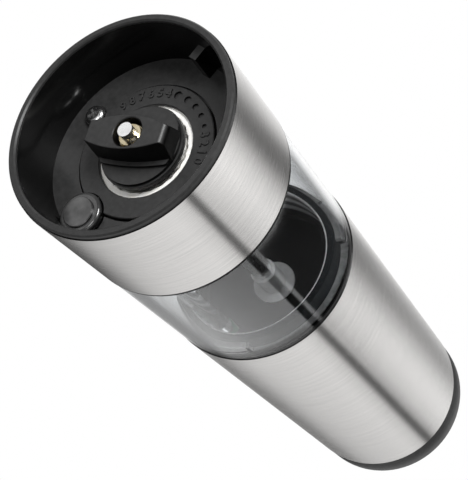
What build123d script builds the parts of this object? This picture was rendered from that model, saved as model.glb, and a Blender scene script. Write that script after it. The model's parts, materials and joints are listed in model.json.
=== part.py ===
from build123d import *
from math import acos, cos, pi, radians, sin, sqrt, tan
import os

# Electric spice grinder that stands on its black rim: Z = 0 is the rim's face, +Z runs up to the push
# button, and the axis of the body is the Z axis. Sizes are millimetres, angles are degrees from +X.

# ---- whole body ----
body_r = 28.0           # outside of both steel sleeves
total_h = 198.0         # rim face to the top of the end cap; the jar takes up what the rest leaves
sleeve_wall = 0.45      # thickness of the steel
sleeve_fit = 0.15       # gap between a steel sleeve and what it is pushed over
slip_gap = 0.3          # gap around pieces that drop into a seat
run_gap = 0.05          # radial clearance of a turning shaft
end_gap = 0.5           # room past the end of a shaft or a screw
root = 0.5              # how far a rib, web or lug reaches into the wall that it grows from

# ---- base cup ----
rim_h = 1.5             # black rim that shows below the lower sleeve
rim_inset = 0.25        # how far the rim stands back from the steel
rim_round = 0.35        # chamfer of the rim's two edges
lip_wall = 1.45         # wall around the recess at the rim
recess_draft = 1.15     # how much narrower the recess is at its floor
floor_z = 13.75         # depth of the recess
floor_t = 2.45          # thickness of the recess floor
cup_wall = 2.0          # wall above the recess floor
window_low = 32.0       # where the clear band of the jar begins
seam_h = 0.5            # thin black flange between the lower sleeve and the jar
seam_inset = 0.1
rib_azimuth = 171.0     # upright rib in the recess that keys the dust cover
rib_reach = 2.8
rib_t = 2.2
rib_low = 6.2

# ---- scale disc and outer burr ----
disc_margin = 7.6       # recess floor that is left around the disc
disc_rise = 0.65        # how far the disc stands out of the recess floor
disc_t = 2.2
disc_chamfer = 0.2
disc_gap = 0.45         # dark gap around the disc
disc_lap = 2.0          # edge of the disc that lies on the base cup
burr_seat_t = 0.9       # lip of the disc that carries the burr
burr_seat_w = 1.65
holder_wall = 1.6       # tube of the disc that holds the burr
burr_h = 12.0
burr_gap = 0.05
key_w = 3.0             # keys that stop the outer burr from turning
key_depth = 0.9
outer_teeth = 24
burr_wall = 3.2         # outer burr with its teeth, at its exit
neck_narrowing = 0.65   # how much narrower the outer burr is at its neck
feed_widening = 0.6     # how much wider it is at the jar's side
outer_neck_twist = -6.0
outer_feed_twist = -24.0
neck_h = 4.0            # height of the narrowest place above the exit
groove_depth = 0.9
exit_groove = 0.25      # what is left of the grooves of both burrs at the exit
tooth_lean = 0.7        # share of a tooth's width that its gentle flank takes
dot_count = 5
dot_inset = 2.2         # from the edge of the disc to the circle of the dots
dot_first = 161.0
dot_step = 12.0
dot_large = 1.05
dot_shrink = 0.12
dot_depth = 0.6

# ---- screws of the recess floor ----
screw_inset = 5.6       # from the recess wall to the screws
screw_azimuth = 82.0
screw_head_r = 2.65
screw_head_h = 1.9
screw_head_round = 1.1
screw_shank_r = 1.4
screw_length = 10.0
screw_sink = 0.35       # how deep the head sits in the floor
screw_hole_gap = 0.2
cross_l = 3.05
cross_w = 0.75
cross_depth = 1.0
cross_turn = 25.0

# ---- work light ----
lens_inset = 4.4        # from the recess wall to the lens's centre
lens_azimuth = -2.0
lens_r = 5.4
lens_rise = 1.9         # how far the lens's shoulder stands out of the recess floor
lens_seat_t = 0.8
lens_crown = 0.9        # rounding of the shoulder
lens_face_r = 3.8       # flat face that stands on the shoulder
lens_face_h = 0.6
lens_face_chamfer = 0.2
pipe_r = 2.3
pipe_side_gap = 0.2     # between the light pipe and the power unit's spigot
pipe_top_gap = 0.6      # between the light pipe and the lamp
pipe_guide_wall = 1.1
pipe_guide_h = 15.0

# ---- clear jar ----
jar_inset = 0.2         # how far the jar and the collar stand back from the steel
jar_wall = 2.6
jar_root_gap = 0.2
jar_root_wall = 2.2     # wall of the jar inside the base cup
funnel_h = 4.0          # sloped part of the funnel
funnel_t = 2.1
funnel_land_h = 0.8     # upright part of the funnel's mouth
mouth_rest = 0.4        # how far the jar's mouth reaches past the burr holder
mouth_step = 0.4        # how much narrower the jar's mouth is than the burr
seal_t = 0.8
boss_r = 3.0
boss_skin = 0.15        # funnel left above the top of a screw boss
lug_count = 3
lug_arc = 28.0
lug_azimuth = 205.0     # middle of the first bayonet lug
lug_t = 1.5
lug_gap = 0.3
lug_overlap = 0.8
stop_arc = 2.0
stop_gap = 1.0          # angle between a lug and its stop

# ---- shaft, inner burr and knob ----
shaft_flats = 5.0       # across the flats of the hexagonal shaft
shaft_end_r = 1.8
shaft_end_proud = 1.0   # how far the shaft stands out of the knob
shaft_step_h = 1.2      # how far the hexagon reaches into the wing
inner_teeth = 24
mill_gap = 0.5          # between the burrs at the exit
inner_narrowing = 0.6   # how much narrower the inner burr is at the neck
inner_feed_wall = 2.15  # inner burr around its bore, at the jar's side
inner_neck_twist = 12.0
inner_feed_twist = 44.0
inner_lift = 0.2        # inner burr's exit above the outer burr's
inner_h = 9.0
inner_groove = 0.85
inner_bore_r = 4.45
carrier_inset = 1.3     # how far the carrier's flange stays inside the inner burr
carrier_flange_t = 0.6
thread_r = 4.2          # outside of the carrier's threaded stem
thread_gap = 0.1
stem_gap = 0.7          # thread left free below the carrier's stem
bridge_t = 2.0
bridge_ring_w = 2.0
bridge_hub_r = 4.6
bridge_arm_w = 2.4
bridge_arm_count = 3
knob_azimuth = 55.0
wing_h = 6.0
wing_overhang = 0.8     # how far the wing's tail reaches past the knob's base
wing_foot_inset = 0.3   # how far the wing's foot and its nose stay inside the knob's base
wing_tail_w = 4.9
wing_nose_w = 3.9
wing_nose_round = 1.7
wing_round = 0.25
wing_foot_end_w = 7.4
pad_h = 0.8
pad_margin = 1.0
knob_clearance = 1.95   # ring around the knob's base that the spice falls through
knob_step = 0.5
knob_step_t = 1.1
knob_face_t = 0.8
knob_back_gap = 0.4     # between the knob's back and the plane of the disc's face
well_r = 3.7
well_wall = 0.55
well_chamfer = 0.2
thread_wall = 0.5
web_t = 0.8
clip_sink = 1.3         # clip below the wing's top
clip_t = 0.5
clip_r = 2.7
clip_groove = 0.45
clip_turn = -130.0      # where the clip opens, from the wing
knob_wire_r = 0.35
knob_coil_r = 2.9
knob_turns = 2.0
burr_wire_r = 0.35
burr_coil_r = 3.7
burr_turns = 2.0

# ---- power unit: chassis and gearbox ----
collar_h = 1.4          # black ring between the jar and the upper sleeve
chassis_fit = 0.25      # gap between the chassis and the upper sleeve
chassis_wall = 1.8
spigot_gap = 1.8        # between the jar's bore and the spigot, where the lugs meet
spigot_wall = 2.1
spigot_h = 4.8          # spigot inside the jar
bulkhead_rise = 12.7    # from the jar's edge to the bulkhead
bulkhead_t = 2.4
corner_chamfer = 0.8    # between the bulkhead and the spigot
web_count = 6
web_w = 1.6
web_first = 30.0
tray_boss_r = 2.6
tray_boss_inset = 3.1   # from the chassis wall to the boss's centre
tray_boss_h = 20.0
gear_module = 0.5
pressure_angle = 20.0
sun_teeth = 12
planet_teeth = 18
planet_count = 3
backlash = 0.1
addendum = 0.9
dedendum = 1.3
gearbox_h = 11.0
gear_h = 4.6
gear_gap = 0.4          # between the planet carrier and the gears
carrier_edge = 3.4      # planet carrier outside the circle of its pins
carrier_plate_t = 2.0
carrier_gap = 0.2       # between the output bush and the planet carrier
pin_r = 1.0
pin_over = 0.6          # how far the planets' pins stand out of them
output_r = 3.0
stub_r = 2.0
bush_r = 6.2
bush_proud = 0.4        # how far the bush stands out of both faces of the bulkhead
hub_r = 3.7
hub_h = 7.4
hub_drop = 1.0          # from the bulkhead down to the hub
hub_socket_depth = 4.4
shaft_top_gap = 0.2
hub_web_t = 0.6
cover_t = 2.0
small_screw_r = 1.0     # screws of the gearbox and of the battery tray
small_head_r = 1.9
small_head_h = 1.1
small_screw_bite = 1.4  # how deep the gearbox screws reach into the bulkhead
cover_screw_count = 3
head_gap = 0.2          # between the cover screws' heads and the motor
tooth_wall = 0.6        # between the ring gear's teeth and the screw holes
gearbox_edge = 1.5      # from the circle of the screws to the outside of the gearbox
cover_screw_first = 60.0
motor_r = 12.2
motor_h = 24.6
motor_top_gap = 1.0     # between the motor and the battery tray
motor_round = 1.0
motor_boss_r = 4.0
motor_boss_h = 1.6
motor_shaft_r = 1.0
motor_shaft_depth = 19.7
motor_screws_ring = 8.0
motor_screw_r = 1.2
motor_screw_bite = 5.0
motor_head_r = 1.95
motor_head_h = 1.2
led_r = 1.5
led_h = 1.9
led_round = 1.2
board_w = 5.0
board_t = 1.0
board_gap = 0.1
wire_hole_r = 1.2

# ---- batteries and switch ----
tray_floor_t = 2.0
tray_screw_bite = 8.0
cell_r = 7.25
cell_h = 49.2
cell_tip_r = 2.75
cell_tip_h = 1.0
cell_gap = 0.25         # between a cell and the tray's webs
contact_t = 0.4
contact_w = 9.0
battery_spring_h = 2.0
battery_wire_r = 0.3
battery_coil_r = 3.0
battery_turns = 1.5
tray_top_t = 1.6
tray_top_gap = 0.9      # between the tray's top and the cap's spigot
tray_web_t = 1.2
strip_w = 4.0
strip_t = 0.5
strip_clearance = 1.65  # between the cells and the contact strips
strip_gap = 0.1
strip_tail = 4.0        # strip below the tray
strip_tip = 1.0         # strip above the tray
switch_w = 12.0
switch_h = 2.2
switch_pin_r = 2.0
switch_pin_h = 0.2

# ---- end cap and button ----
cap_h = 11.0
cap_inset = 0.1         # how far the cap stands back from the steel
cap_round = 0.8
cap_top_t = 2.2
cap_wall = 1.7
cap_spigot_h = 8.0
cap_spigot_wall = 1.5
button_r = 12.9
button_gap = 0.2
button_round = 0.5
button_sink = 0.2       # button face below the cap's top
dish_r = 10.5           # hollow of the button's face
dish_depth = 0.6
button_lap = 1.7        # button's flange under the cap
button_flange_t = 1.0
button_travel = 1.8
plunger_r = 3.1
plunger_gap = 0.1
press_gap = 0.1         # what is left between plunger and switch when pressed
guide_t = 0.8
guide_wall = 1.5
guide_fit = 0.05
plunger_tail = 0.7      # plunger below the guide
button_spring_h = 3.4
button_wire_r = 0.35
button_coil_r = 4.6
button_turns = 2.0

# ---- places and sizes worked out from the values above ----
# radii, from the steel inwards
steel_bore_r = body_r - sleeve_wall
rim_r = body_r - rim_inset
cup_r = steel_bore_r - sleeve_fit
cup_bore_r = cup_r - cup_wall
seam_r = body_r - seam_inset
lip_r = cup_r - lip_wall
floor_r = lip_r - recess_draft
rib_inner_r = floor_r - rib_reach
disc_r = floor_r - disc_margin
pocket_r = disc_r + disc_gap
dot_r = disc_r - dot_inset
holder_r = disc_r - disc_lap
burr_r = holder_r - holder_wall
mouth_r = burr_r - burr_seat_w
outer_exit_r = burr_r - burr_wall
outer_neck_r = outer_exit_r - neck_narrowing
outer_feed_r = outer_exit_r + feed_widening
inner_exit_r = outer_exit_r - mill_gap
inner_neck_r = inner_exit_r - inner_narrowing
inner_feed_r = inner_bore_r + inner_feed_wall
carrier_flange_r = inner_exit_r - carrier_inset
knob_r = mouth_r - knob_clearance
knob_step_r = knob_r + knob_step
wing_tail = knob_r + wing_overhang
wing_nose = knob_r - wing_foot_inset
wing_mid_w = 2 * (well_r + well_wall)
wing_foot_mid_w = 2 * (thread_r + thread_gap + thread_wall)
shaft_corner_r = shaft_flats / sqrt(3)
socket_flats = shaft_flats + 2 * run_gap
screw_ring_r = floor_r - screw_inset
screw_azimuths = (screw_azimuth, screw_azimuth + 180)
lens_ring_r = floor_r - lens_inset
jar_r = body_r - jar_inset
jar_bore_r = jar_r - jar_wall
jar_root_r = cup_bore_r - jar_root_gap
jar_mouth_r = burr_r - mouth_step
spigot_r = jar_bore_r - spigot_gap
spigot_bore_r = spigot_r - spigot_wall
lug_meet_r = (spigot_r + jar_bore_r) / 2
pipe_ring_r = spigot_bore_r - pipe_r - pipe_side_gap
chassis_r = steel_bore_r - chassis_fit
chassis_bore_r = chassis_r - chassis_wall
tray_boss_ring = chassis_bore_r - tray_boss_inset
ring_teeth = sun_teeth + 2 * planet_teeth
ring_root_r = gear_module * (ring_teeth / 2 + dedendum)
planet_orbit_r = gear_module * (sun_teeth + planet_teeth) / 2
carrier_plate_r = planet_orbit_r + carrier_edge
cover_screw_ring = max(ring_root_r + tooth_wall + small_screw_r + run_gap, motor_r + head_gap + small_head_r)
gearbox_r = cover_screw_ring + gearbox_edge
cell_pitch = cell_r + cell_gap + tray_web_t / 2
cell_places = [(x * cell_pitch, y * cell_pitch, x == y) for x in (1, -1) for y in (1, -1)]
strip_x = cell_pitch + cell_r + strip_clearance
cap_r = body_r - cap_inset
cap_bore_r = cap_r - cap_wall
cap_spigot_r = steel_bore_r - sleeve_fit
cap_spigot_bore_r = cap_spigot_r - cap_spigot_wall
tray_top_r = cap_spigot_bore_r - tray_top_gap
button_flange_r = button_r + button_lap

# heights, from the top down to the jar
cap_low = total_h - cap_h
cap_ceiling_z = total_h - cap_top_t
button_flange_low = cap_ceiling_z - button_flange_t
guide_high = button_flange_low - button_spring_h
guide_z = guide_high - guide_t
plunger_low = guide_z - plunger_tail
switch_pin_z = plunger_low - button_travel - press_gap
switch_high = switch_pin_z - switch_pin_h
switch_low = switch_high - switch_h
tray_top_z = switch_low - tray_top_t
cell_room_low = tray_top_z - 2 * contact_t - battery_spring_h - cell_h - cell_tip_h
chassis_high = cell_room_low - tray_floor_t
motor_high = chassis_high - motor_top_gap
motor_low = motor_high - motor_h
motor_shaft_high = motor_low + motor_shaft_depth
cover_low = motor_low - cover_t
gearbox_low = cover_low - gearbox_h
bulkhead_z = gearbox_low - bulkhead_t
bush_low = bulkhead_z - bush_proud
bush_high = gearbox_low + bush_proud
carrier_plate_low = bush_high + carrier_gap
gear_low = carrier_plate_low + carrier_plate_t + gear_gap
gear_high = gear_low + gear_h
hub_high = bulkhead_z - hub_drop
hub_low = hub_high - hub_h
hub_web_z = hub_low + hub_socket_depth
shaft_high = hub_web_z - shaft_top_gap
led_low = bulkhead_z - led_h
pipe_high = led_low - pipe_top_gap
window_high = bulkhead_z - bulkhead_rise
collar_top_z = window_high + collar_h
spigot_low = window_high - spigot_h
lug_low = spigot_low + lug_gap
shelf_low = lug_low + lug_t + lug_gap

# heights, from the recess floor up to the jar and down to the knob
floor_back_z = floor_z + floor_t
disc_face_z = floor_z - disc_rise
disc_back_z = disc_face_z + disc_t
screw_head_z = floor_z + screw_sink
lens_back_z = floor_back_z - lens_seat_t
lens_shoulder_z = floor_z - lens_rise
burr_low = disc_face_z + burr_seat_t
burr_high = burr_low + burr_h
inner_low = burr_low + inner_lift
inner_high = inner_low + inner_h
bridge_high = burr_high + bridge_t
mouth_z = bridge_high + seal_t
funnel_low_z = mouth_z + funnel_land_h
funnel_z = funnel_low_z + funnel_h
funnel_slope = funnel_h / (jar_bore_r - jar_mouth_r)
knob_back_z = disc_face_z - knob_back_gap
wing_foot_z = knob_back_z - knob_step_t - knob_face_t
wing_top_z = wing_foot_z - wing_h
shaft_end_z = wing_top_z - shaft_end_proud
shaft_step_z = wing_foot_z - shaft_step_h
stem_low = shaft_step_z + stem_gap
clip_z = wing_top_z + clip_sink


# ---- shared shapes ----
def rod(radius, low, high):
    """A round bar standing between two heights."""
    return Pos(0, 0, low) * Cylinder(radius, high - low, align=(Align.CENTER, Align.CENTER, Align.MIN))


def hole(radius, low, high):
    """A cutter for a round hole through a wall between two heights."""
    return rod(radius, low - 1, high + 1)


def tube(outer, inner, low, high):
    """A round tube or washer standing between two heights."""
    return rod(outer, low, high) - hole(inner, low, high)


def block(x_size, y_size, low, high):
    """A rectangular bar standing between two heights, centred on the axis."""
    return Pos(0, 0, low) * Box(x_size, y_size, high - low, align=(Align.CENTER, Align.CENTER, Align.MIN))


def turned(points):
    """A solid of revolution from (radius, height) points."""
    return revolve(make_face(Plane.XZ * Polyline(*points, close=True)), Axis.Z, 360)


def hexagon_rod(flats, low, high):
    """A hexagonal bar standing between two heights."""
    return Pos(0, 0, low) * extrude(RegularPolygon(flats / 2, 6, major_radius=False), high - low)


def at(radius, azimuth, shape):
    """The shape moved out along an azimuth and turned with it."""
    return Rot(0, 0, azimuth) * Pos(radius, 0, 0) * shape


def around(count, radius, first, shape):
    """Copies of a shape spread evenly on a circle about the axis."""
    return [at(radius, first + 360 / count * i, shape) for i in range(count)]


def joined(body, copies):
    """The body with every copy added."""
    for copy in copies:
        body += copy
    return body


def cut(body, copies):
    """The body with every copy taken away."""
    for copy in copies:
        body -= copy
    return body


def sector(outer, inner, low, high, middle, arc):
    """The part of a tube that spans an arc about a middle azimuth."""
    edge = outer * 2
    half = radians(arc / 2)
    wedge = make_face(Polyline((0, 0), (edge * cos(half), -edge * sin(half)),
                               (edge * cos(half), edge * sin(half)), close=True))
    return tube(outer, inner, low, high) & (Rot(0, 0, middle) * Pos(0, 0, low) * extrude(wedge, high - low))


def coil(mean_r, wire_r, low, high, turns):
    """A compression spring between two heights."""
    height = high - low - 2 * wire_r
    path = Helix(pitch=height / turns, height=height, radius=mean_r)
    section = Plane(origin=path @ 0, z_dir=path % 0) * Circle(wire_r)
    return Pos(0, 0, low + wire_r) * sweep(section, path=path, is_frenet=True)


# ---- base ----
def base_cup():
    cup = turned([
        (lip_r, rim_round), (lip_r + rim_round, 0), (rim_r - rim_round, 0), (rim_r, rim_round),
        (rim_r, rim_h), (cup_r, rim_h), (cup_r, window_low - seam_h), (seam_r, window_low - seam_h),
        (seam_r, window_low), (cup_bore_r, window_low), (cup_bore_r, floor_back_z),
        (holder_r + slip_gap, floor_back_z), (holder_r + slip_gap, disc_back_z),
        (pocket_r, disc_back_z), (pocket_r, floor_z), (floor_r, floor_z)])
    rib_length = lip_r - rib_inner_r
    cup += at(rib_inner_r + rib_length / 2, rib_azimuth, block(rib_length, rib_t, rib_low, floor_z + root))
    cup = cut(cup, screw_head_pockets())
    for azimuth in screw_azimuths:
        cup -= at(screw_ring_r, azimuth, hole(screw_shank_r + screw_hole_gap, floor_z, floor_back_z))
    cup -= lens_pocket()
    return cup - at(pipe_ring_r, lens_azimuth, hole(pipe_r + slip_gap, floor_z, floor_back_z))


def screw_head_pockets():
    pocket = rod(screw_head_r + slip_gap, rib_low, screw_head_z)
    return [at(screw_ring_r, azimuth, pocket) for azimuth in screw_azimuths]


def lens_pocket():
    pocket_low = lens_shoulder_z - lens_face_h - slip_gap
    return at(lens_ring_r, lens_azimuth, rod(lens_r + slip_gap, pocket_low, lens_back_z))


def lower_sleeve():
    return tube(body_r, steel_bore_r, rim_h, window_low - seam_h)


def scale_disc():
    disc = turned([
        (mouth_r, disc_face_z + disc_chamfer), (mouth_r + disc_chamfer, disc_face_z),
        (disc_r - disc_chamfer, disc_face_z), (disc_r, disc_face_z + disc_chamfer),
        (disc_r, disc_back_z), (holder_r, disc_back_z),
        (holder_r, bridge_high), (burr_r + burr_gap, bridge_high), (burr_r + burr_gap, burr_low),
        (mouth_r, burr_low)])
    key = block(key_depth, key_w, burr_low, burr_high)
    disc = joined(disc, around(2, burr_r + burr_gap - key_depth / 2, screw_azimuth + 90, key))
    for i in range(dot_count):
        dot = rod(dot_large - dot_shrink * i, disc_face_z - dot_depth, disc_face_z + dot_depth)
        disc -= at(dot_r, dot_first + dot_step * i, dot)
    return cut(disc, screw_head_pockets()) - lens_pocket()


def plate_screws():
    low = screw_head_z - screw_head_h
    head = fillet(rod(screw_head_r, low, screw_head_z).edges().sort_by(Axis.Z)[0], screw_head_round)
    for turn in (0, 90):
        head -= Rot(0, 0, turn) * block(cross_l, cross_w, low, low + cross_depth)
    screw = head + rod(screw_shank_r, screw_head_z, screw_head_z + screw_length)
    return [at(screw_ring_r, azimuth, Rot(0, 0, cross_turn) * screw) for azimuth in screw_azimuths]


def toothed_section(tip_r, valley_r, teeth, turn, height):
    """A saw-toothed closed outline at a height."""
    points = []
    for i in range(teeth):
        tip = radians(turn + 360 / teeth * i)
        valley = tip + radians(360 / teeth * tooth_lean)
        points.append((tip_r * cos(tip), tip_r * sin(tip)))
        points.append((valley_r * cos(valley), valley_r * sin(valley)))
    return Pos(0, 0, height) * make_face(Polyline(*points, close=True))


def outer_burr():
    stations = ((outer_exit_r, exit_groove, 0, burr_low),
                (outer_neck_r, groove_depth, outer_neck_twist, burr_low + neck_h),
                (outer_feed_r, groove_depth, outer_feed_twist, burr_high))
    bore = loft([toothed_section(radius + groove, radius, outer_teeth, twist, height)
                 for radius, groove, twist, height in stations], ruled=True)
    slot = block(2 * (key_depth + slip_gap), key_w + 2 * slip_gap, burr_low, burr_high)
    return cut(rod(burr_r, burr_low, burr_high) - bore, around(2, burr_r, screw_azimuth + 90, slot))


def light_lens():
    shoulder = rod(lens_r, lens_shoulder_z, lens_back_z)
    shoulder = fillet(shoulder.edges().sort_by(Axis.Z)[0], lens_crown)
    face = rod(lens_face_r, lens_shoulder_z - lens_face_h, lens_back_z)
    face = chamfer(face.edges().sort_by(Axis.Z)[0], lens_face_chamfer)
    return at(lens_ring_r, lens_azimuth, shoulder + face)


def light_pipe():
    return at(pipe_ring_r, lens_azimuth, rod(pipe_r, lens_back_z, pipe_high))


def funnel_top(radius):
    """Height of the funnel's upper face at a radius."""
    return funnel_low_z + funnel_slope * (radius - jar_mouth_r)


def spice_jar():
    skirt_bore_r = jar_root_r - jar_root_wall
    root_z = floor_back_z + jar_root_gap
    jar = turned([
        (jar_r, window_low), (jar_r, window_high), (jar_bore_r, window_high), (jar_bore_r, funnel_z),
        (jar_mouth_r, funnel_low_z), (jar_mouth_r, mouth_z), (holder_r + mouth_rest, mouth_z),
        (skirt_bore_r, funnel_top(skirt_bore_r) - funnel_t), (skirt_bore_r, root_z),
        (jar_root_r, root_z), (jar_root_r, window_low)])
    boss_high = funnel_top(screw_ring_r - boss_r) - boss_skin
    for azimuth in screw_azimuths:
        jar += at(screw_ring_r, azimuth, rod(boss_r, floor_back_z, boss_high))
        jar -= at(screw_ring_r, azimuth,
                  rod(screw_shank_r + run_gap, floor_z, screw_head_z + screw_length + end_gap))
    pipe_guide_z = funnel_low_z + pipe_guide_h
    guide_r = pipe_r + slip_gap + pipe_guide_wall
    jar += at(pipe_ring_r, lens_azimuth, rod(guide_r, funnel_low_z, pipe_guide_z))
    jar -= at(pipe_ring_r, lens_azimuth, hole(pipe_r + slip_gap, funnel_low_z, pipe_guide_z))
    inner_r = lug_meet_r - lug_overlap / 2
    for i in range(lug_count):
        middle = lug_azimuth + 360 / lug_count * i
        stop = middle - (lug_arc + stop_arc) / 2 - stop_gap
        jar += sector(jar_bore_r + root, inner_r, shelf_low, shelf_low + lug_t, middle, lug_arc)
        jar += sector(jar_bore_r + root, inner_r, lug_low, shelf_low + lug_t, stop, stop_arc)
    return jar


def mouth_seal():
    return tube(holder_r, jar_mouth_r, bridge_high, mouth_z)


def bearing_bridge():
    bridge = tube(burr_r - burr_gap, burr_r - bridge_ring_w, burr_high, bridge_high)
    bridge += rod(bridge_hub_r, burr_high, bridge_high)
    reach = burr_r - bridge_ring_w / 2
    arm = block(reach, bridge_arm_w, burr_high, bridge_high)
    bridge = joined(bridge, around(bridge_arm_count, reach / 2, 0, arm))
    return bridge - hole(shaft_corner_r + run_gap, burr_high, bridge_high)


# ---- shaft, inner burr and knob ----
def drive_shaft():
    shaft = hexagon_rod(shaft_flats, shaft_step_z, shaft_high)
    shaft += rod(shaft_end_r, shaft_end_z, shaft_step_z)
    return shaft - tube(2 * shaft_end_r, shaft_end_r - clip_groove, clip_z, clip_z + clip_t)


def shaft_clip():
    seat_r = shaft_end_r - clip_groove
    clip = tube(clip_r, seat_r, clip_z, clip_z + clip_t)
    opening = Pos(clip_r, 0, 0) * block(2 * clip_r, 2 * seat_r, clip_z, clip_z + clip_t)
    return Rot(0, 0, knob_azimuth + clip_turn) * (clip - opening)


def knob_spring():
    return coil(knob_coil_r, knob_wire_r, clip_z + clip_t, shaft_step_z - web_t, knob_turns)


def burr_carrier():
    carrier = rod(thread_r, stem_low, inner_low)
    carrier += rod(carrier_flange_r, inner_low - carrier_flange_t, inner_low)
    carrier += rod(inner_bore_r - burr_gap, inner_low, inner_high)
    return carrier - hexagon_rod(socket_flats, stem_low - end_gap, inner_high + end_gap)


def inner_burr():
    stations = ((inner_exit_r, exit_groove, 0, inner_low),
                (inner_neck_r, inner_groove, inner_neck_twist, inner_low + neck_h),
                (inner_feed_r, inner_groove, inner_feed_twist, inner_high))
    cone = loft([toothed_section(radius, radius - groove, inner_teeth, twist, height)
                 for radius, groove, twist, height in stations], ruled=True)
    return cone - hole(inner_bore_r, inner_low, inner_high)


def burr_spring():
    return coil(burr_coil_r, burr_wire_r, inner_high + burr_gap, burr_high - burr_gap, burr_turns)


def wing_section(tail_w, nose_w, mid_w, height):
    """Boat-shaped outline of the knob's wing at a height, with its nose on the -X side."""
    tail_y, nose_y, mid_y = tail_w / 2, nose_w / 2, mid_w / 2
    return Pos(0, 0, height) * make_face([
        ThreePointArc((wing_tail, tail_y), (0, mid_y), (-wing_nose, nose_y)),
        Line((-wing_nose, nose_y), (-wing_nose, -nose_y)),
        ThreePointArc((-wing_nose, -nose_y), (0, -mid_y), (wing_tail, -tail_y)),
        Line((wing_tail, -tail_y), (wing_tail, tail_y)),
    ])


def setting_knob():
    body = loft([wing_section(wing_tail_w, wing_nose_w, wing_mid_w, wing_top_z),
                 wing_section(wing_foot_end_w, wing_foot_end_w, wing_foot_mid_w, wing_foot_z)])
    side = make_face(Plane.XZ * Polyline((wing_tail, wing_top_z), (wing_nose, wing_foot_z),
                                         (-wing_nose, wing_foot_z), (-wing_nose, wing_top_z), close=True))
    profile = extrude(side, wing_foot_mid_w, both=True)
    nose = profile.edges().filter_by(Axis.Y).group_by(Axis.Z)[0].sort_by(Axis.X)[0]
    wing = body & fillet(nose, wing_nose_round)
    wing = fillet(wing.faces().sort_by(Axis.Z)[0].edges().sort_by(Axis.X)[1:], wing_round)
    pad_low = wing_foot_z - pad_h
    pad_end_w = wing_foot_end_w + 2 * pad_margin
    pad = extrude(wing_section(pad_end_w, pad_end_w, wing_foot_mid_w + 2 * pad_margin, pad_low), pad_h)
    knob = wing + (pad & rod(knob_r, pad_low, wing_foot_z))
    knob += rod(knob_r, wing_foot_z, wing_foot_z + knob_face_t)
    knob += rod(knob_step_r, wing_foot_z + knob_face_t, knob_back_z)
    knob -= rod(well_r, wing_top_z, shaft_step_z - web_t)
    knob -= Pos(0, 0, wing_top_z) * Cone(well_r + well_chamfer, well_r, well_chamfer,
                                         align=(Align.CENTER, Align.CENTER, Align.MIN))
    knob -= rod(shaft_end_r + run_gap, wing_top_z, shaft_step_z)
    knob -= rod(thread_r + thread_gap, shaft_step_z, knob_back_z)
    return Rot(0, 0, knob_azimuth) * knob


# ---- gearbox ----
def gear_outline(teeth, root_r, tip_r, slack):
    """Closed involute outline; slack thins each tooth, and a negative slack widens it."""
    pressure = radians(pressure_angle)
    pitch_r = gear_module * teeth / 2
    base_r = pitch_r * cos(pressure)

    def half_angle(radius):
        roll = acos(min(1.0, base_r / radius))
        at_pitch = pi / (2 * teeth) - slack / (2 * pitch_r)
        return at_pitch + tan(pressure) - pressure - (tan(roll) - roll)

    foot_r = max(root_r, base_r)
    radii = [foot_r, (foot_r + tip_r) / 2, tip_r]
    if root_r < base_r:
        radii = [root_r] + radii
    points = []
    for i in range(teeth):
        middle = 2 * pi * i / teeth
        flank = [(radius, middle - half_angle(radius)) for radius in radii]
        flank += [(radius, middle + half_angle(radius)) for radius in reversed(radii)]
        points += [(radius * cos(angle), radius * sin(angle)) for radius, angle in flank]
    return make_face(Polyline(*points, close=True))


def spur_gear(teeth, bore_r):
    """A gear with its first tooth on +X."""
    pitch_r = gear_module * teeth / 2
    outline = gear_outline(teeth, pitch_r - dedendum * gear_module,
                           pitch_r + addendum * gear_module, backlash)
    return Pos(0, 0, gear_low) * extrude(outline, gear_h) - hole(bore_r, gear_low, gear_high)


def small_screw(seat_z, length):
    """A screw whose head stands on a seat and whose shank hangs below it."""
    return rod(small_screw_r, seat_z - length, seat_z) + rod(small_head_r, seat_z, seat_z + small_head_h)


def on_cover_screws(shape):
    return around(cover_screw_count, cover_screw_ring, cover_screw_first, shape)


def on_motor_screws(shape):
    return around(2, motor_screws_ring, 0, shape)


def on_tray_screws(shape):
    return around(2, tray_boss_ring, 90, shape)


def ring_gear():
    pitch_r = gear_module * ring_teeth / 2
    spaces = gear_outline(ring_teeth, pitch_r - addendum * gear_module,
                          pitch_r + dedendum * gear_module, -backlash)
    teeth = Pos(0, 0, gearbox_low) * Rot(0, 0, 180 / ring_teeth) * extrude(spaces, gearbox_h)
    ring = rod(gearbox_r, gearbox_low, cover_low) - teeth
    return cut(ring, on_cover_screws(hole(small_screw_r + run_gap, gearbox_low, cover_low)))


def planet_gear(index):
    azimuth = 360 / planet_count * index
    gear = Rot(0, 0, 180 / planet_teeth) * spur_gear(planet_teeth, pin_r + run_gap)
    return Rot(0, 0, azimuth) * Pos(planet_orbit_r, 0, 0) * gear


def planet_carrier():
    carrier = rod(carrier_plate_r, carrier_plate_low, carrier_plate_low + carrier_plate_t)
    carrier += rod(output_r, hub_high, carrier_plate_low)
    carrier += rod(stub_r, hub_web_z + hub_web_t, hub_high)
    pin = rod(pin_r, carrier_plate_low, gear_high + pin_over)
    return joined(carrier, around(planet_count, planet_orbit_r, 0, pin))


def coupling_hub():
    hub = rod(hub_r, hub_low, hub_high) - hexagon_rod(socket_flats, hub_low - end_gap, hub_web_z)
    return hub - rod(stub_r, hub_web_z + hub_web_t, hub_high)


def sun_pinion():
    return spur_gear(sun_teeth, motor_shaft_r)


def motor_shaft():
    return rod(motor_shaft_r, gear_low, motor_shaft_high)


def gearbox_cover():
    cover = tube(gearbox_r, motor_boss_r + slip_gap, cover_low, motor_low)
    cover = cut(cover, on_cover_screws(hole(small_screw_r + run_gap, cover_low, motor_low)))
    return cut(cover, on_motor_screws(hole(motor_screw_r + run_gap, cover_low, motor_low)))


def gearbox_screws():
    return on_cover_screws(small_screw(motor_low, cover_t + gearbox_h + small_screw_bite))


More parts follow.
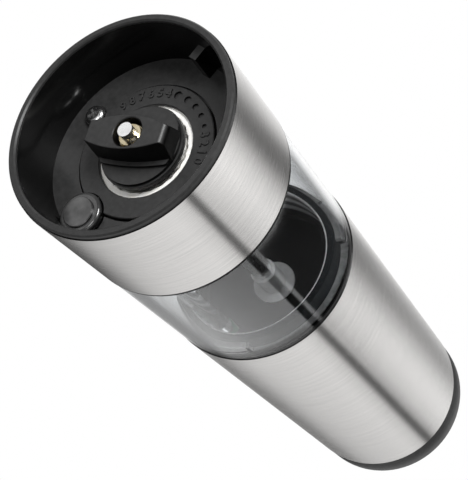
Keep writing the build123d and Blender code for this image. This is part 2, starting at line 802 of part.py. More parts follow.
def motor_can():
    can = rod(motor_r, motor_low, motor_high)
    can = fillet(can.edges().sort_by(Axis.Z)[-1], motor_round)
    can += rod(motor_boss_r, motor_low - motor_boss_h, motor_low)
    can -= rod(motor_shaft_r + run_gap, motor_low - motor_boss_h, motor_shaft_high + end_gap)
    return cut(can, on_motor_screws(
        rod(motor_screw_r + run_gap, motor_low, motor_low + motor_screw_bite + end_gap)))


def motor_screws():
    screw = rod(motor_screw_r, cover_low, motor_low + motor_screw_bite)
    return on_motor_screws(screw + rod(motor_head_r, cover_low - motor_head_h, cover_low))


def chassis():
    body = tube(chassis_r, chassis_bore_r, collar_top_z, chassis_high)
    body += tube(jar_r, spigot_bore_r, window_high, collar_top_z)
    body += tube(spigot_r, spigot_bore_r, spigot_low, gearbox_low)
    body += rod(spigot_bore_r, bulkhead_z, gearbox_low)
    corner_low = bulkhead_z - corner_chamfer
    body += turned([(spigot_bore_r - corner_chamfer, bulkhead_z), (spigot_bore_r, corner_low),
                    (spigot_bore_r + root, corner_low), (spigot_bore_r + root, bulkhead_z)])
    web_length = chassis_bore_r - spigot_r + 2 * root
    web = block(web_length, web_w, collar_top_z - root, bulkhead_z)
    body = joined(body, around(web_count, spigot_r - root + web_length / 2, web_first, web))
    lug = sector(lug_meet_r + lug_overlap / 2, spigot_r - root, lug_low, lug_low + lug_t, 0, lug_arc)
    body = joined(body, around(lug_count, 0, lug_azimuth, lug))
    boss_low = chassis_high - tray_boss_h
    rib_length = tray_boss_inset + root
    boss = rod(tray_boss_r, boss_low, chassis_high)
    boss += Pos(rib_length / 2, 0, 0) * block(rib_length, web_w, boss_low, chassis_high)
    body = joined(body, on_tray_screws(boss))
    body = cut(body, on_tray_screws(
        rod(small_screw_r + run_gap, chassis_high - tray_screw_bite - end_gap, chassis_high)))
    body -= hole(bush_r, bulkhead_z, gearbox_low)
    pocket_w = board_w + 2 * board_gap
    body -= at(pipe_ring_r, lens_azimuth, block(pocket_w, pocket_w, bulkhead_z, bulkhead_z + board_t))
    body -= at(pipe_ring_r, lens_azimuth, hole(wire_hole_r, bulkhead_z, gearbox_low))
    return cut(body, on_cover_screws(
        rod(small_screw_r + run_gap, gearbox_low - small_screw_bite, gearbox_low)))


def output_bush():
    return tube(bush_r, output_r + run_gap, bush_low, bush_high)


def led_board():
    return at(pipe_ring_r, lens_azimuth, block(board_w, board_w, bulkhead_z, bulkhead_z + board_t))


def led_lamp():
    lamp = rod(led_r, led_low, bulkhead_z)
    return at(pipe_ring_r, lens_azimuth, fillet(lamp.edges().sort_by(Axis.Z)[0], led_round))


# ---- battery tray ----
def battery_tray():
    tray = rod(chassis_r, chassis_high, cell_room_low)
    tray += rod(tray_top_r, tray_top_z, switch_low)
    width = 2 * (cell_pitch + cell_r)
    for x_size, y_size in ((width, tray_web_t), (tray_web_t, width)):
        tray += block(x_size, y_size, cell_room_low - root, tray_top_z + root)
    tray = cut(tray, on_tray_screws(hole(small_screw_r + run_gap, chassis_high, cell_room_low)))
    slot = block(strip_t + 2 * strip_gap, strip_w + 2 * strip_gap, chassis_high, switch_low)
    return cut(tray, around(2, strip_x, 0, slot))


def tray_screws():
    return on_tray_screws(small_screw(cell_room_low, tray_floor_t + tray_screw_bite))


def battery_cell(index):
    """One cell with its button end up, or down where the spring is above it."""
    x, y, button_up = cell_places[index]
    low = cell_room_low + contact_t
    if button_up:
        low += battery_spring_h
        cell = rod(cell_r, low, low + cell_h) + rod(cell_tip_r, low + cell_h, low + cell_h + cell_tip_h)
    else:
        cell = rod(cell_tip_r, low, low + cell_tip_h)
        cell += rod(cell_r, low + cell_tip_h, low + cell_tip_h + cell_h)
    return Pos(x, y, 0) * cell


def battery_plates():
    plate = block(contact_w, contact_w, 0, contact_t)
    levels = (cell_room_low, tray_top_z - contact_t)
    return [Pos(x, y, z) * plate for x, y, button_up in cell_places for z in levels]


def battery_springs():
    springs = []
    for x, y, button_up in cell_places:
        low = cell_room_low + contact_t if button_up else tray_top_z - contact_t - battery_spring_h
        spring = coil(battery_coil_r, battery_wire_r, low, low + battery_spring_h, battery_turns)
        springs.append(Pos(x, y, 0) * spring)
    return springs


def contact_strips():
    return around(2, strip_x, 0, block(strip_t, strip_w, chassis_high - strip_tail, switch_low + strip_tip))


def press_switch():
    return block(switch_w, switch_w, switch_low, switch_high) + rod(switch_pin_r, switch_high, switch_pin_z)


# ---- upper sleeve, cap and button ----
def upper_sleeve():
    return tube(body_r, steel_bore_r, collar_top_z, cap_low)


def top_cap():
    cap = rod(cap_r, cap_low, total_h)
    cap = fillet(cap.edges().sort_by(Axis.Z)[-1], cap_round)
    cap -= rod(cap_bore_r, cap_low, cap_ceiling_z)
    cap -= hole(button_r + button_gap, cap_ceiling_z, total_h)
    return cap + tube(cap_spigot_r, cap_spigot_bore_r, cap_low - cap_spigot_h, cap_low + root)


def button_guide():
    guide_r = cap_bore_r - guide_fit
    guide = tube(guide_r, plunger_r + plunger_gap, guide_z, guide_high)
    return guide + tube(guide_r, guide_r - guide_wall, guide_z, cap_ceiling_z)


def push_button():
    head = rod(button_r, cap_ceiling_z, total_h - button_sink)
    head = fillet(head.edges().sort_by(Axis.Z)[-1], button_round)
    ball_r = (dish_r ** 2 + dish_depth ** 2) / (2 * dish_depth)
    head -= Pos(0, 0, total_h - button_sink - dish_depth + ball_r) * Sphere(ball_r)
    head += rod(button_flange_r, button_flange_low, cap_ceiling_z)
    return head + rod(plunger_r, plunger_low, button_flange_low)


def button_spring():
    return coil(button_coil_r, button_wire_r, guide_high, button_flange_low, button_turns)


def build_parts():
    nodes = {
        "base_cup": base_cup(), "lower_sleeve": lower_sleeve(), "scale_disc": scale_disc(),
        "plate_screws": plate_screws(), "outer_burr": outer_burr(), "light_lens": light_lens(),
        "light_pipe": light_pipe(), "spice_jar": spice_jar(), "mouth_seal": mouth_seal(),
        "bearing_bridge": bearing_bridge(), "drive_shaft": drive_shaft(), "shaft_clip": shaft_clip(),
        "knob_spring": knob_spring(), "burr_carrier": burr_carrier(), "inner_burr": inner_burr(),
        "burr_spring": burr_spring(), "setting_knob": setting_knob(), "chassis": chassis(),
        "ring_gear": ring_gear(), "planet_carrier": planet_carrier(), "coupling_hub": coupling_hub(),
        "output_bush": output_bush(), "sun_pinion": sun_pinion(), "motor_shaft": motor_shaft(),
        "gearbox_cover": gearbox_cover(), "gearbox_screws": gearbox_screws(), "motor_can": motor_can(),
        "motor_screws": motor_screws(), "led_board": led_board(), "led_lamp": led_lamp(),
        "battery_tray": battery_tray(), "tray_screws": tray_screws(), "battery_plates": battery_plates(),
        "battery_springs": battery_springs(), "contact_strips": contact_strips(),
        "press_switch": press_switch(), "upper_sleeve": upper_sleeve(), "top_cap": top_cap(),
        "button_guide": button_guide(), "push_button": push_button(), "button_spring": button_spring(),
    }
    for i in range(planet_count):
        nodes[f"planet_gear_{i + 1}"] = planet_gear(i)
    for i in range(len(cell_places)):
        nodes[f"battery_cell_{i + 1}"] = battery_cell(i)
    return nodes


os.makedirs("parts", exist_ok=True)
for node_name, shape in build_parts().items():
    if isinstance(shape, list):
        shape = Compound(children=shape)
    export_step(shape, f"parts/{node_name}.step")
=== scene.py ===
import json
from math import cos, pi, radians, sin

import bpy
from mathutils import Matrix, Vector


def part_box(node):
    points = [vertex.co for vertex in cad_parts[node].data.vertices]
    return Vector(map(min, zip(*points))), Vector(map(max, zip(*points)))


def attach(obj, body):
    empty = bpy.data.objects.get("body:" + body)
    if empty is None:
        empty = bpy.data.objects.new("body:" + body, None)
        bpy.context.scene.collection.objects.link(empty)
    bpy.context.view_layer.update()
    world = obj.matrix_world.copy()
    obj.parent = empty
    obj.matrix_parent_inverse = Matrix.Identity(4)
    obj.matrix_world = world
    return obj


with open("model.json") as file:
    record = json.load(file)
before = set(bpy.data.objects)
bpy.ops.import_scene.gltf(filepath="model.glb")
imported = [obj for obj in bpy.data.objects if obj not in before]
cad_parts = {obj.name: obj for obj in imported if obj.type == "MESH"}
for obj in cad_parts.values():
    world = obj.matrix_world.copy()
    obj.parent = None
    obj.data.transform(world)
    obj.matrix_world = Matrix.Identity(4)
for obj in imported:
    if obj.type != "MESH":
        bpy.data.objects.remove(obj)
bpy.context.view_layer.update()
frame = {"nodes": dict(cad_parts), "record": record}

# Lengths are metres and angles degrees. Z runs up from the rim's face, and the camera looks up at that end.

# ---- camera ----
camera_place = Vector((0.0, -0.1624, -0.1626))
camera_aim = Vector((-0.0002, 0.0, 0.0618))
camera_roll = 135.68
camera_lens = 78.98         # in millimetres, as its sensor is
camera_sensor = 36.0

# ---- places on the part, from the frame ----
wall_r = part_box("base_cup")[1][0]
sleeve_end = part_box("lower_sleeve")[1][2]
cup_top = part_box("base_cup")[1][2]
spigot_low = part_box("chassis")[0][2]
upper_sleeve_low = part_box("upper_sleeve")[0][2]
cap_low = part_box("upper_sleeve")[1][2]
cap_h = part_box("top_cap")[1][2] - cap_low
dial_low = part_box("scale_disc")[0][2]
lens_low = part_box("light_lens")[0][2]
jar_middle = (cup_top + spigot_low) / 2

# ---- limits between the tones of a piece ----
rim_inner_r = 0.0259        # the rim is outside it, and the recess wall narrows inside it
plate_top = 0.0165          # just above the plate that is the recess floor
bore_limit_r = 0.0216       # just outside the spigot's bore
lug_limit_r = 0.0235        # just outside the spigot, where its lugs begin
lens_face_h = 0.0006        # the lens's face stands this far out of its ring
seam_shadow_h = 0.0004      # the sleeve's dark end, where the seam's flange is set back

# ---- dial ----
numeral_r = 0.0149
numeral_size = 0.0031
numeral_rise = 0.00022
numeral_azimuths = (104, 113.5, 123, 132.5, 142, 151, 218, 226.5, 235, 243.5)

# ---- grain of the materials ----
noise_low = 0.3             # a noise is mostly between these two values
noise_high = 0.7
coarse_detail = 3.0
fine_detail = 5.0
fine_ratio = 3.1            # a material's fine noise has this many times the cells of its coarse one
speckle_grain = (900, 900, 900)
bump_depth = 0.00002

# ---- tones of the black plastic ----
# Painted highlight rings inside the spigot by height, as shares of their whole height and brightnesses. The
# share wobbles.
highlight_rings_h = 0.0145
spigot_highlight_rings = (
    (0.0, 0.90), (0.16, 0.95), (0.24, 0.20), (0.34, 0.20), (0.42, 0.95), (0.50, 0.85),
    (0.58, 0.12), (0.70, 0.12), (0.76, 0.80), (0.86, 0.70), (0.94, 0.03), (1.0, 0.01),
)
ring_wobble = 0.16
ring_wobble_grain = (90, 90, 30)
# A painted reflection on the cap's side from the sleeve up to its end, as shares of the cap's height and
# brightnesses.
cap_painted_reflection = ((0.0, 0.001), (0.30, 0.002), (0.55, 0.03), (0.80, 0.11), (1.0, 0.14))

# ---- studio ----
# Three rows of soft boxes and dark flags, as (compass direction, brightness). The camera sees the lower row
# mirrored in the lower sleeve, the gap row in the jar and the upper row in the upper sleeve. The dark stripe
# at 270 is the camera's own.
lower_row = (
    (0, 0.68), (20, 0.56), (42, 0.14), (66, 0.03), (80, 0.35), (93, 1.15), (114, 1.24), (140, 0.80),
    (160, 0.38), (176, 0.14), (186, 0.14), (198, 0.62), (212, 1.10), (228, 1.30), (246, 1.08), (264, 0.84),
    (267, 0.02), (273, 0.02), (276, 0.80), (294, 0.96), (340, 0.78),
)
gap_row = (
    (0, 1.05), (22, 0.80), (36, 0.30), (60, 0.30), (86, 1.15), (126, 1.15), (140, 0.50), (152, 0.03),
    (258, 0.03), (260, 0.80), (263, 0.80), (265, 0.02), (273, 0.02), (275, 0.95), (330, 1.10),
)
upper_row = (
    (0, 0.60), (16, 0.46), (30, 0.10), (54, 0.06), (72, 0.90), (90, 1.15), (114, 1.22), (138, 0.73),
    (160, 0.44), (172, 0.46), (196, 0.95), (214, 1.12), (228, 1.06), (250, 0.80), (258, 0.42), (266, 0.06),
    (274, 0.08), (280, 0.66), (300, 0.86), (340, 0.68),
)
gap_low = sleeve_end + 0.0003           # the wall's heights between which the gap row is mirrored
gap_high = upper_sleeve_low - 0.0005
edge_directions = (0, 50, 90, 130, 170, 200, 230, 270, 310, 340)
edge_soft = 0.004                       # this and the next two are in sines of elevation
dark_below = -0.48
lit_above = -0.34
dark_tone = 0.03
backdrop_white = 1.0

# Each lamp's place, diameter and power in watts.
lamps = {
    "key_light": ((-0.217, -0.058, -0.268), 0.16, 1.4),
    "back_panel": ((0.0, 0.246, -0.315), 0.21, 0.12),
    "side_panel": ((-0.30, -0.20, -0.16), 0.28, 0.15),
    "under_panel": ((0.03, -0.03, -0.30), 0.12, 0.28),
}
lamp_aim = Vector((0, 0, 0.01))

floor_half = 1.5
floor_drop = 0.0003
floor_rough = 0.7


# ---- node helpers ----
def node(tree, kind, **settings):
    made = tree.nodes.new(kind)
    for name, value in settings.items():
        setattr(made, name, value)
    return made


def feed(tree, value, socket):
    """Gives a socket what feeds it: another node's output, a number or a colour."""
    if isinstance(value, bpy.types.NodeSocket):
        tree.links.new(value, socket)
    elif isinstance(value, tuple):
        socket.default_value = (*value, 1.0)
    else:
        socket.default_value = value


def source_of(shader, socket):
    """The output that feeds a shader's socket."""
    return shader.inputs[socket].links[0].from_socket


def math_node(tree, operation, *values):
    made = node(tree, "ShaderNodeMath", operation=operation)
    for socket, value in zip(made.inputs, values):
        feed(tree, value, socket)
    return made.outputs[0]


def more(tree, first, second):
    return math_node(tree, "GREATER_THAN", first, second)


def less(tree, first, second):
    return math_node(tree, "LESS_THAN", first, second)


def both(tree, first, second):
    """Where two masks meet."""
    return math_node(tree, "MULTIPLY", first, second)


def either(tree, first, second):
    """Where one of two masks is."""
    return math_node(tree, "MAXIMUM", first, second)


def share(tree, value, low, whole):
    """How far a value is on its way from a low one, as a share of the whole way."""
    return math_node(tree, "DIVIDE", math_node(tree, "SUBTRACT", value, low), whole)


def map_range(tree, value, from_low, from_high, to_low=0.0, to_high=1.0):
    made = node(tree, "ShaderNodeMapRange")
    limits = {"From Min": from_low, "From Max": from_high, "To Min": to_low, "To Max": to_high}
    for name, limit in limits.items():
        made.inputs[name].default_value = limit
    feed(tree, value, made.inputs["Value"])
    return made.outputs["Result"]


def blend(tree, factor, first, second, kind="RGBA"):
    """Mixes colours (kind RGBA) or numbers (kind FLOAT)."""
    first_input, output = {"FLOAT": (2, 0), "RGBA": (6, 2)}[kind]
    mix = node(tree, "ShaderNodeMix", data_type=kind)
    feed(tree, factor, mix.inputs[0])
    feed(tree, first, mix.inputs[first_input])
    feed(tree, second, mix.inputs[first_input + 1])
    return mix.outputs[output]


def ramp(tree, factor, *stops):
    """A colour ramp through (position, colour) stops."""
    made = node(tree, "ShaderNodeValToRGB")
    elements = made.color_ramp.elements
    while len(elements) < len(stops):
        elements.new(0.5)
    for element, (position, colour) in zip(elements, stops):
        element.position = position
        element.color = (*colour, 1.0)
    feed(tree, factor, made.inputs["Fac"])
    return made.outputs["Color"]


def grey_ramp(tree, factor, stops):
    """A ramp through (position, brightness) stops."""
    return ramp(tree, factor, *[(position, grey(value)) for position, value in stops])


def grey(value, warm=0.0):
    return (value * (1 + warm), value, value * (1 - warm))


def even(density):
    """A noise's grain that is the same along each axis."""
    return (density, density, density)


def noise(tree, grain, detail=coarse_detail):
    """Noise with as many cells to the metre along each axis as its grain says."""
    place = node(tree, "ShaderNodeTexCoord")
    mapping = node(tree, "ShaderNodeMapping")
    mapping.inputs["Scale"].default_value = grain
    feed(tree, place.outputs["Object"], mapping.inputs["Vector"])
    made = node(tree, "ShaderNodeTexNoise")
    made.inputs["Scale"].default_value = 1.0
    made.inputs["Detail"].default_value = detail
    feed(tree, mapping.outputs["Vector"], made.inputs["Vector"])
    return made.outputs["Fac"]


def tones(tree, pattern, dark, light):
    """A noise as two tones and what lies between them."""
    return ramp(tree, pattern, (noise_low, dark), (noise_high, light))


def numbers(tree, pattern, low, high):
    """A noise as numbers between two."""
    return map_range(tree, pattern, noise_low, noise_high, low, high)


def bump(tree, height, strength, depth):
    made = node(tree, "ShaderNodeBump")
    made.inputs["Strength"].default_value = strength
    made.inputs["Distance"].default_value = depth
    feed(tree, height, made.inputs["Height"])
    return made.outputs["Normal"]


def material(name, colours, rough, grain, bump_strength=0.0, depth=bump_depth, **sockets):
    """A shader whose colour runs between two tones over a noise. Its roughness runs between two numbers over
    a finer noise, which is its bump as well. What else is given is set on the shader's own sockets."""
    made = bpy.data.materials.new(name)
    made.use_nodes = True
    tree = made.node_tree
    shader = tree.nodes["Principled BSDF"]
    fine = noise(tree, [fine_ratio * cells for cells in grain], fine_detail)
    feed(tree, tones(tree, noise(tree, grain), *colours), shader.inputs["Base Color"])
    feed(tree, numbers(tree, fine, *rough), shader.inputs["Roughness"])
    if bump_strength:
        feed(tree, bump(tree, fine, bump_strength, depth), shader.inputs["Normal"])
    for socket, value in sockets.items():
        shader.inputs[socket.replace("_", " ")].default_value = value
    return made


def shader_of(made):
    """A material's node tree and its shader."""
    return made.node_tree, made.node_tree.nodes["Principled BSDF"]


# ---- masks by place ----
def radius_and_height(tree):
    """Distance from the axis and height above the rim's face."""
    place = node(tree, "ShaderNodeTexCoord")
    split = node(tree, "ShaderNodeSeparateXYZ")
    feed(tree, place.outputs["Object"], split.inputs[0])
    squares = [math_node(tree, "POWER", split.outputs[axis], 2.0) for axis in ("X", "Y")]
    return math_node(tree, "SQRT", math_node(tree, "ADD", *squares)), split.outputs["Z"]


def faces(tree, low=0.6, high=0.9):
    """1 on faces square to the axis and 0 on walls along it. Between the two cosines it runs from 0 to 1."""
    side = node(tree, "ShaderNodeNewGeometry")
    split = node(tree, "ShaderNodeSeparateXYZ")
    feed(tree, side.outputs["True Normal"], split.inputs[0])
    return map_range(tree, math_node(tree, "ABSOLUTE", split.outputs["Z"]), low, high)


# ---- materials ----
def brushed_steel():
    """Steel brushed round the axis, with dull cut ends and a dark end at the seam."""
    made = material("brushed_steel", (grey(0.66, warm=0.015), grey(0.75, warm=0.02)), rough=(0.19, 0.28),
                    grain=(45, 45, 4200), bump_strength=0.10, depth=bump_depth / 2, Metallic=1.0,
                    Anisotropic=0.75, Anisotropic_Rotation=0.25)
    tree, shader = shader_of(made)
    tangent = node(tree, "ShaderNodeTangent", direction_type="RADIAL", axis="Z")
    feed(tree, tangent.outputs[0], shader.inputs["Tangent"])
    height = radius_and_height(tree)[1]
    speckle = noise(tree, speckle_grain)
    cut_ends = tones(tree, speckle, grey(0.05), grey(0.10))
    tone = blend(tree, faces(tree), source_of(shader, "Base Color"), cut_ends)
    seam = both(tree, more(tree, height, sleeve_end - seam_shadow_h), less(tree, height, jar_middle))
    tone = blend(tree, seam, tone, tones(tree, speckle, grey(0.008), grey(0.016)))
    feed(tree, tone, shader.inputs["Base Color"])
    return made


def black_gloss():
    """Black plastic: polished walls, with a satin rim and recess floor. Further up it is cooler and duller
    inside the outer wall, with painted highlight rings in the spigot's bore and lugs painted grey as
    painted glints. The cap's side turns greyer to its end, as a painted reflection."""
    made = material("black_gloss", (grey(0.003), grey(0.006)), rough=(0.10, 0.17), grain=even(60),
                    bump_strength=0.04, Specular_IOR_Level=0.3)
    tree, shader = shader_of(made)
    radius, height = radius_and_height(tree)
    speckle = noise(tree, speckle_grain)
    low = less(tree, height, plate_top)
    high = more(tree, height, plate_top)
    satin = both(tree, low, either(tree, more(tree, radius, rim_inner_r), faces(tree)))
    inside = both(tree, high, less(tree, radius, rim_inner_r))
    # The bore's light rings are painted highlights.
    bore = both(tree, high, less(tree, radius, bore_limit_r))
    # The lugs are painted grey as painted glints.
    lugs = both(tree, inside, more(tree, radius, lug_limit_r))
    walls = math_node(tree, "SUBTRACT", 1.0, faces(tree))
    # The cap's side, where a painted reflection goes.
    cap = both(tree, walls, more(tree, height, cap_low))
    seam = both(tree, high, less(tree, height, jar_middle))

    polished = source_of(shader, "Base Color")
    tone = blend(tree, satin, polished, tones(tree, speckle, grey(0.023), grey(0.033)))
    cool = tones(tree, speckle, (0.006, 0.009, 0.011), (0.010, 0.014, 0.017))
    tone = blend(tree, inside, tone, cool)
    tone = blend(tree, bore, tone, spigot_ring_tones(tree, height))
    tone = blend(tree, lugs, tone, tones(tree, speckle, grey(0.30), grey(0.45)))
    tone = blend(tree, cap, tone, grey_ramp(tree, share(tree, height, cap_low, cap_h), cap_painted_reflection))
    feed(tree, tone, shader.inputs["Base Color"])

    dull = either(tree, seam, either(tree, inside, cap))
    rough = blend(tree, satin, source_of(shader, "Roughness"), numbers(tree, speckle, 0.30, 0.38), "FLOAT")
    rough = blend(tree, dull, rough, numbers(tree, speckle, 0.50, 0.62), "FLOAT")
    feed(tree, rough, shader.inputs["Roughness"])
    return made


def spigot_ring_tones(tree, height):
    """Painted highlight rings one above the other in the spigot's bore, not quite level."""
    wobble = math_node(tree, "MULTIPLY", noise(tree, ring_wobble_grain), ring_wobble)
    rise = math_node(tree, "ADD", share(tree, height, spigot_low, highlight_rings_h), wobble)
    return grey_ramp(tree, rise, spigot_highlight_rings)


def black_satin():
    """Black plastic with satin faces, and walls painted darker as painted shade."""
    made = material("black_satin", (grey(0.024), grey(0.034)), rough=(0.30, 0.38), grain=speckle_grain,
                    bump_strength=0.12, Specular_IOR_Level=0.25)
    tree, shader = shader_of(made)
    # Walls darker than faces: painted shade.
    walls = tones(tree, noise(tree, even(500)), grey(0.003), grey(0.006))
    tone = blend(tree, faces(tree, low=0.35, high=0.75), walls, source_of(shader, "Base Color"))
    feed(tree, tone, shader.inputs["Base Color"])
    return made


def clear_acrylic():
    return material("clear_acrylic", ((0.93, 0.95, 0.96), (0.97, 0.98, 0.99)), rough=(0.015, 0.04),
                    grain=even(40), Transmission_Weight=1.0, IOR=1.49)


def smoky_lens():
    """A smoky face, whose tones over a noise are a painted streak highlight, that stands in a satin ring
    with a side painted black as painted shade.
    """
    # The face's tones over a noise are a painted streak highlight.
    made = material("smoky_lens", (grey(0.022), grey(0.072)), rough=(0.14, 0.22), grain=even(260),
                    bump_strength=0.02, Coat_Weight=0.3, Coat_Roughness=0.1)
    tree, shader = shader_of(made)
    height = radius_and_height(tree)[1]
    pattern = noise(tree, even(300))
    # The ring's side is darker than its front: painted shade.
    front = tones(tree, pattern, grey(0.030), grey(0.042))
    side = tones(tree, pattern, grey(0.002), grey(0.005))
    ring = blend(tree, faces(tree, low=0.15, high=0.6), side, front)
    behind_face = more(tree, height, lens_low + lens_face_h / 2)
    feed(tree, blend(tree, behind_face, source_of(shader, "Base Color"), ring), shader.inputs["Base Color"])
    return made


def ceramic():
    return material("ceramic", ((0.88, 0.86, 0.81), (0.99, 0.985, 0.97)), rough=(0.40, 0.58),
                    grain=even(700), bump_strength=0.2)


def bright_screw():
    return material("bright_screw", (grey(0.62), grey(0.76)), rough=(0.16, 0.28), grain=even(800),
                    bump_strength=0.1, Metallic=1.0)


def machine_steel():
    return material("machine_steel", (grey(0.86), grey(0.94)), rough=(0.24, 0.36), grain=(500, 500, 1500),
                    bump_strength=0.1, Metallic=1.0)


def spring_wire():
    return material("spring_wire", ((0.56, 0.47, 0.30), (0.70, 0.62, 0.44)), rough=(0.25, 0.38),
                    grain=even(600), bump_strength=0.1, Metallic=1.0)


def brass():
    return material("brass", ((0.62, 0.44, 0.18), (0.74, 0.56, 0.27)), rough=(0.24, 0.38),
                    grain=(500, 500, 900), bump_strength=0.1, Metallic=1.0)


def zinc_steel():
    return material("zinc_steel", (grey(0.44), grey(0.55)), rough=(0.30, 0.45), grain=even(350),
                    bump_strength=0.12, Metallic=1.0)


def grey_plastic():
    return material("grey_plastic", (grey(0.70), grey(0.80)), rough=(0.38, 0.50), grain=even(700),
                    bump_strength=0.1)


def gear_plastic():
    return material("gear_plastic", ((0.66, 0.63, 0.54), (0.74, 0.71, 0.63)), rough=(0.36, 0.48),
                    grain=even(600), bump_strength=0.1)


def silicone():
    return material("silicone", (grey(0.46), grey(0.54)), rough=(0.48, 0.60), grain=even(600),
                    bump_strength=0.1)


def cell_wrap():
    return material("cell_wrap", ((0.02, 0.06, 0.13), (0.03, 0.08, 0.17)), rough=(0.22, 0.34),
                    grain=even(200), bump_strength=0.05, Coat_Weight=0.4)


def circuit_board():
    return material("circuit_board", ((0.01, 0.12, 0.05), (0.02, 0.18, 0.08)), rough=(0.30, 0.42),
                    grain=speckle_grain, bump_strength=0.1)


def clear_epoxy():
    return material("clear_epoxy", ((0.9, 0.9, 0.86), (0.96, 0.96, 0.93)), rough=(0.04, 0.08),
                    grain=even(300), Transmission_Weight=0.9, IOR=1.5)


def switch_plastic():
    return material("switch_plastic", (grey(0.015), grey(0.025)), rough=(0.40, 0.52), grain=even(800),
                    bump_strength=0.12)


finishes = {
    "black_gloss": black_gloss, "black_satin": black_satin, "steel_sleeve": brushed_steel,
    "clear_jar": clear_acrylic, "smoky_lens": smoky_lens, "ceramic": ceramic, "bright_screw": bright_screw,
    "machine_steel": machine_steel, "spring_wire": spring_wire, "grey_plastic": grey_plastic,
    "gear_plastic": gear_plastic, "brass_part": brass, "motor_steel": zinc_steel, "seal_rubber": silicone,
    "cell_wrap": cell_wrap, "board": circuit_board, "led_clear": clear_epoxy, "switch_black": switch_plastic,
}


def finish_cad_nodes():
    """Gives every CAD node the finish of its slot, and returns the finishes by slot."""
    made = {slot: finish() for slot, finish in finishes.items()}
    for row in frame["record"]["subparts"]:
        materials = frame["nodes"][row["node"]].data.materials
        materials.clear()
        materials.append(made[row["material_slot"]])
    return made


# ---- numerals on the dial ----
def show(name, data):
    """A new object in the scene."""
    shown = bpy.data.objects.new(name, data)
    bpy.context.scene.collection.objects.link(shown)
    return shown


def numeral_mesh(digit, azimuth):
    """A raised digit that reads from below, with its top pointing away from the axis."""
    text = bpy.data.curves.new(f"numeral_{digit}", "FONT")
    text.body = str(digit)
    text.size = numeral_size
    text.align_x = "CENTER"
    text.align_y = "CENTER"
    text.extrude = numeral_rise
    text.bevel_depth = numeral_rise / 3
    text.resolution_u = 3
    letter = show(text.name, text)
    bpy.context.view_layer.update()
    mesh = bpy.data.meshes.new_from_object(letter)
    bpy.data.objects.remove(letter)
    turn = radians(azimuth)
    outward = Vector((cos(turn), sin(turn), 0))
    along = Vector((-sin(turn), cos(turn), 0))
    spin = Matrix((along, outward, Vector((0, 0, -1)))).transposed().to_4x4()
    mesh.transform(Matrix.Translation(outward * numeral_r + Vector((0, 0, dial_low))) @ spin)
    return mesh


def build_numerals(finish):
    """Numerals 9 to 0 round the scale disc, on either side of its dots."""
    digits = reversed(range(len(numeral_azimuths)))
    for digit, azimuth in zip(digits, numeral_azimuths):
        mesh = numeral_mesh(digit, azimuth)
        mesh.materials.clear()
        mesh.materials.append(finish)
        numeral = show(f"numeral_{digit}", mesh)
        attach(numeral, "base")


# ---- studio ----
def round_compass(tree, turn, row):
    """A brightness by direction. Its (direction, brightness) stops run on from the last to the first."""
    closed = row + ((360, row[0][1]),)
    return grey_ramp(tree, turn, [(direction / 360, value) for direction, value in closed])


def mirrored(height):
    """What the camera sees mirrored in the wall at a height, as (direction, sine of elevation)."""
    row = []
    for direction in edge_directions:
        side = radians((direction - 90) % 360 / 2 + 180)
        point = Vector((wall_r * cos(side), wall_r * sin(side), height))
        row.append((direction, (point - camera_place).normalized().z))
    return tuple(row)


def studio_colour(tree):
    """The studio's brightness by direction: its rows one above the other, and little light from below."""
    place = node(tree, "ShaderNodeTexCoord")
    split = node(tree, "ShaderNodeSeparateXYZ")
    feed(tree, place.outputs["Generated"], split.inputs[0])
    turn = math_node(tree, "ARCTAN2", split.outputs["Y"], split.outputs["X"])
    turn = math_node(tree, "DIVIDE", turn, 2 * pi)
    turn = math_node(tree, "FRACT", math_node(tree, "ADD", turn, 1.0))
    height = split.outputs["Z"]
    lit = map_range(tree, height, dark_below, lit_above)
    mixed = blend(tree, lit, grey(dark_tone), round_compass(tree, turn, lower_row))
    for row, wall_height in ((gap_row, gap_low), (upper_row, gap_high)):
        edge = round_compass(tree, turn, mirrored(wall_height))
        above = grey_ramp(tree, math_node(tree, "SUBTRACT", height, edge), ((0.0, 0.0), (edge_soft, 1.0)))
        mixed = blend(tree, above, mixed, round_compass(tree, turn, row))
    return mixed


def build_world():
    """A white backdrop for the camera, and the studio for everything else."""
    world = bpy.data.worlds.new("studio")
    bpy.context.scene.world = world
    world.use_nodes = True
    tree = world.node_tree
    tree.nodes.clear()
    path = node(tree, "ShaderNodeLightPath")
    choice = node(tree, "ShaderNodeMixShader")
    feed(tree, path.outputs["Is Camera Ray"], choice.inputs[0])
    colours = (studio_colour(tree), grey(backdrop_white))
    for colour, socket in zip(colours, choice.inputs[1:]):
        background = node(tree, "ShaderNodeBackground")
        feed(tree, colour, background.inputs["Color"])
        feed(tree, background.outputs[0], socket)
    output = node(tree, "ShaderNodeOutputWorld")
    feed(tree, choice.outputs[0], output.inputs["Surface"])


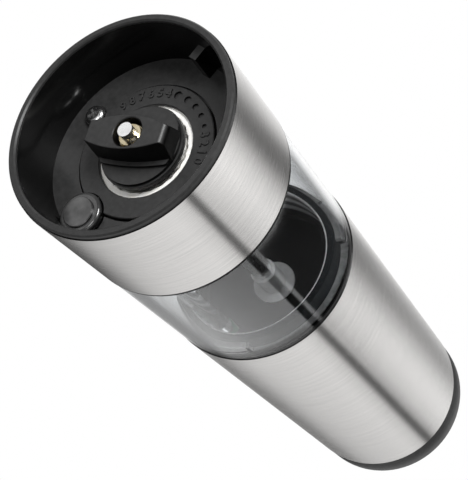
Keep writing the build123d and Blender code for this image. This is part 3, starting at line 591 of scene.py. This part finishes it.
def build_lamps():
    for name, (place, diameter, power) in lamps.items():
        light = bpy.data.lights.new(name, "AREA")
        light.shape = "DISK"
        light.size = diameter
        light.energy = power
        lamp = show(name, light)
        lamp.location = place
        lamp.rotation_euler = (lamp_aim - Vector(place)).to_track_quat("-Z", "Y").to_euler()


def floor_paint():
    """Pale paint on the upper side, and nothing on the lower side."""
    paint = bpy.data.materials.new("floor_paint")
    paint.use_nodes = True
    tree, shader = shader_of(paint)
    feed(tree, floor_rough, shader.inputs["Roughness"])
    feed(tree, tones(tree, noise(tree, even(3)), grey(0.80), grey(0.84)), shader.inputs["Base Color"])
    side = node(tree, "ShaderNodeNewGeometry")
    clear = node(tree, "ShaderNodeBsdfTransparent")
    choice = node(tree, "ShaderNodeMixShader")
    feed(tree, side.outputs["Backfacing"], choice.inputs[0])
    feed(tree, shader.outputs[0], choice.inputs[1])
    feed(tree, clear.outputs[0], choice.inputs[2])
    feed(tree, choice.outputs[0], tree.nodes["Material Output"].inputs["Surface"])
    return paint


def build_floor():
    """A pale floor under the rim. The camera looks up from below it, so its lower side isn't drawn."""
    quarters = ((-1, -1), (1, -1), (1, 1), (-1, 1))
    corners = [(x * floor_half, y * floor_half, -floor_drop) for x, y in quarters]
    mesh = bpy.data.meshes.new("floor")
    mesh.from_pydata(corners, [], [(0, 1, 2, 3)])
    mesh.materials.append(floor_paint())
    floor = show("floor", mesh)
    floor.visible_glossy = False
    floor.visible_diffuse = False
    floor.visible_transmission = False
    floor.visible_shadow = False


def build_camera():
    data = bpy.data.cameras.new("camera")
    data.lens = camera_lens
    data.sensor_width = camera_sensor
    forward = (camera_aim - camera_place).normalized()
    level = forward.cross(Vector((0, 0, 1))).normalized()
    upright = level.cross(forward)
    roll = radians(camera_roll)
    right = level * cos(roll) + upright * sin(roll)
    turned = Matrix((right, right.cross(forward), -forward)).transposed().to_4x4()
    camera = show("camera", data)
    camera.matrix_world = Matrix.Translation(camera_place) @ turned
    bpy.context.scene.camera = camera


made_finishes = finish_cad_nodes()
build_numerals(made_finishes["black_satin"])
build_world()
build_floor()
build_camera()
build_lamps()
bpy.context.scene.view_settings.view_transform = "Standard"
